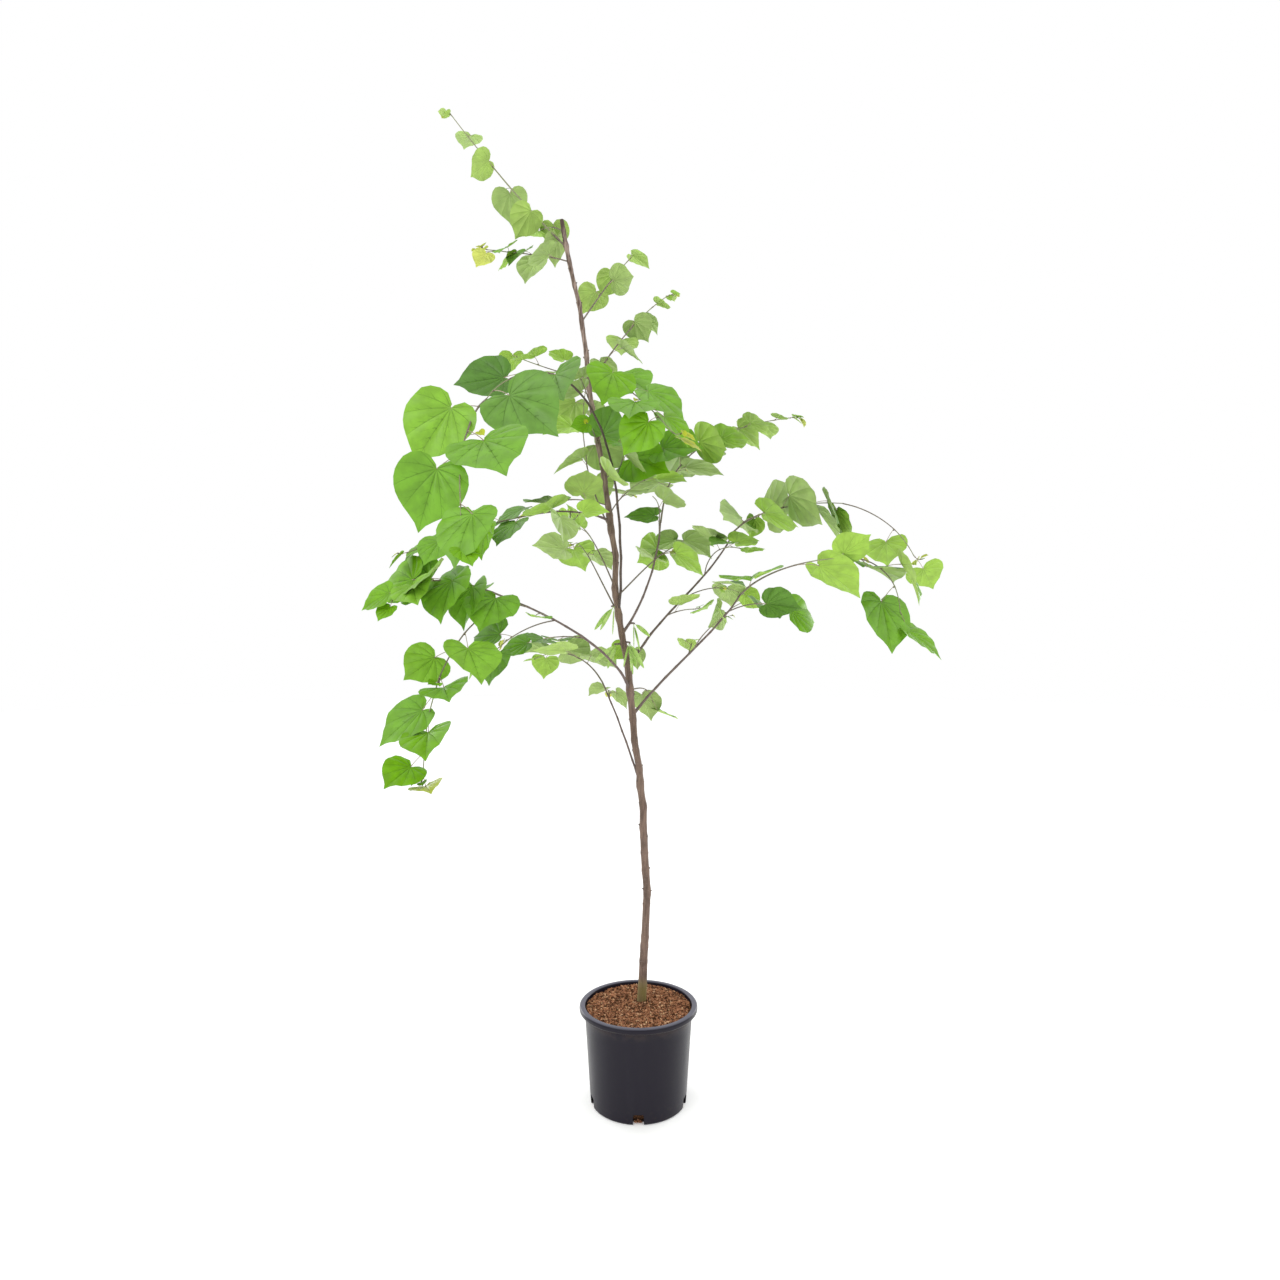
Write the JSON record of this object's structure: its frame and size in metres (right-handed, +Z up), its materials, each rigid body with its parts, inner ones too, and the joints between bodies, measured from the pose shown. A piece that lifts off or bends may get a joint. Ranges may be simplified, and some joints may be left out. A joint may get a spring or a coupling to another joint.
{
  "type": "young redbud tree in a nursery pot",
  "caption": "Slender young redbud with a leaning trunk, arching leafy shoots with heart-shaped leaves and green pods, in a black nursery pot of potting mix.",
  "frame": {"origin": "centre of the pot's flat underside, on the surface it stands on", "axes": "+Z up along the trunk, +X to the right and -Y to the front as the plant is seen from its display side"},
  "size_m": [1.2949, 0.9147, 2.2875],
  "materials": {
    "bark": "grey-brown young bark with lenticels, olive near the soil",
    "foliage": "thin heart-shaped leaves, fresh green above and paler below",
    "pods": "flat pale green seed pods",
    "pot_plastic": "black moulded nursery pot, satin",
    "potting_mix": "loose brown bark and peat crumbs"
  },
  "bodies": {
    "root": {"trunk": "bark", "left_bough": "bark", "right_bough": "bark", "low_right_bough": "bark", "upper_right_bough": "bark", "mid_left_bough": "bark", "low_left_bough": "bark", "arch_bough": "bark", "left_spray": "foliage", "upper_right_spray": "foliage", "mid_left_spray": "foliage", "low_left_spray": "foliage", "arch_spray": "foliage", "arch_fall": "foliage", "left_inner_spray": "foliage", "right_inner_spray": "foliage", "low_right_inner_spray": "foliage", "front_spray": "foliage", "leader_spray": "foliage", "upper_left_spray": "foliage", "upper_right_twig": "foliage", "mid_right_twig": "foliage", "back_left_spray": "foliage", "left_near_spray": "foliage", "left_back_spray": "foliage", "right_near_spray": "foliage", "low_back_spray": "foliage", "right_low_twig": "foliage", "right_mid_twig": "foliage", "low_right_low_twig": "foliage", "low_right_tip_twig": "foliage", "upper_right_mid_twig": "foliage", "trunk_left_high_twig": "foliage", "crown_twig": "foliage", "left_mid_twig": "foliage", "left_low_twig": "foliage", "mid_left_twig": "foliage", "right_tip_twig": "foliage", "low_right_mid_twig": "foliage", "trunk_left_mid_twig": "foliage", "trunk_right_high_twig": "foliage", "crown_back_twig": "foliage", "low_left_twig": "foliage", "right_back_twig": "foliage", "arch_low_twig": "foliage", "trunk_right_mid_twig": "foliage", "right_spray": "foliage", "right_fall": "foliage", "low_right_spray": "foliage", "low_right_fall": "foliage", "left_fall": "foliage", "leader_low_twig": "foliage", "pods_low": "pods", "pods_low_left": "pods", "pods_fork": "pods", "pods_high": "pods", "pot": "pot_plastic", "potting_mix": "potting_mix"}
  },
  "joints": []
}
